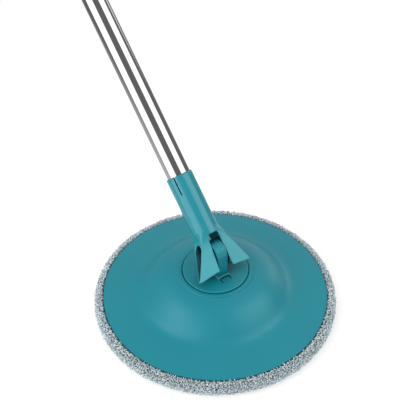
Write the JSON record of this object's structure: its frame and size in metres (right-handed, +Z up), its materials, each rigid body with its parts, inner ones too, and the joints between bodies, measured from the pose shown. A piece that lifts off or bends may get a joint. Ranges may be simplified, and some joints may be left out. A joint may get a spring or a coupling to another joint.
{
  "type": "spin mop",
  "caption": "Floor mop with a domed round plate, a looped microfibre pad, a forked tilting joint and a push-down handle that spins the head.",
  "frame": {"origin": "centre of the pad's underside, on the floor", "axes": "+Z up from the floor, the handle leans towards +Y, the head's hinge pin runs along X"},
  "size_m": [0.3198, 1.0775, 0.9146],
  "materials": {
    "teal_plastic": "satin moulded ABS, fine orange peel",
    "insert_plastic": "satin moulded ABS, slightly darker",
    "tube_steel": "bright plated steel tube",
    "zinc_steel": "zinc-plated",
    "grip_rubber": "matt soft-touch",
    "charcoal_plastic": "matt moulded",
    "white_nylon": "natural nylon",
    "hook_tape": "hook tape",
    "pad_cloth": "woven backing",
    "pad_loops": "looped microfibre pile, mottled pale and mid grey"
  },
  "bodies": {
    "handle": {"upper_tube": "tube_steel", "grip": "grip_rubber", "end_cap": "teal_plastic", "nut_housing": "white_nylon", "drive_nut": "white_nylon", "clutch_ring": "zinc_steel", "nut_cap": "white_nylon"},
    "collar": {"collar_body": "teal_plastic", "bearing_ring": "white_nylon", "clamp_collet": "white_nylon"},
    "lock": {"lock_ring": "charcoal_plastic"},
    "lower": {"lower_tube": "tube_steel", "handle_joint": "teal_plastic", "hinge_pin": "zinc_steel", "pin_clip": "zinc_steel", "socket_screw": "zinc_steel", "strip_anchor": "white_nylon", "twisted_strip": "zinc_steel", "guide_bush": "white_nylon"},
    "head": {"disc_plate": "teal_plastic", "hub_base": "insert_plastic", "retaining_ring": "insert_plastic", "hub_screw_1": "zinc_steel", "hub_screw_2": "zinc_steel", "hub_screw_3": "zinc_steel", "hub_screw_4": "zinc_steel", "hook_ring_outer": "hook_tape", "hook_ring_inner": "hook_tape", "pad_backing": "pad_cloth", "pad_pile": "pad_loops"}
  },
  "joints": [
    {"name": "pump_slide", "type": "slide", "parent": "handle", "child": "collar", "axis": [0, 0.7501, 0.6613], "range_m": [0, 0.17]},
    {"name": "spin", "type": "hinge", "parent": "collar", "child": "lower", "pos_m": [0, 0, 0.1035], "axis": [0, 0.7501, 0.6613], "range_deg": [0, 615]},
    {"name": "lock_twist", "type": "hinge", "parent": "collar", "child": "lock", "pos_m": [0, 0.51008, 0.55319], "axis": [0, 0.7501, 0.6613], "range_deg": [-100, 0]},
    {"name": "head_tilt", "type": "hinge", "parent": "lower", "child": "head", "pos_m": [0, 0, 0.1035], "axis": [1, 0, 0], "range_deg": [-133, 36]}
  ],
  "couplings": [
    {"joint": "spin", "follows": "pump_slide", "rad_per_m": 62.832}
  ]
}
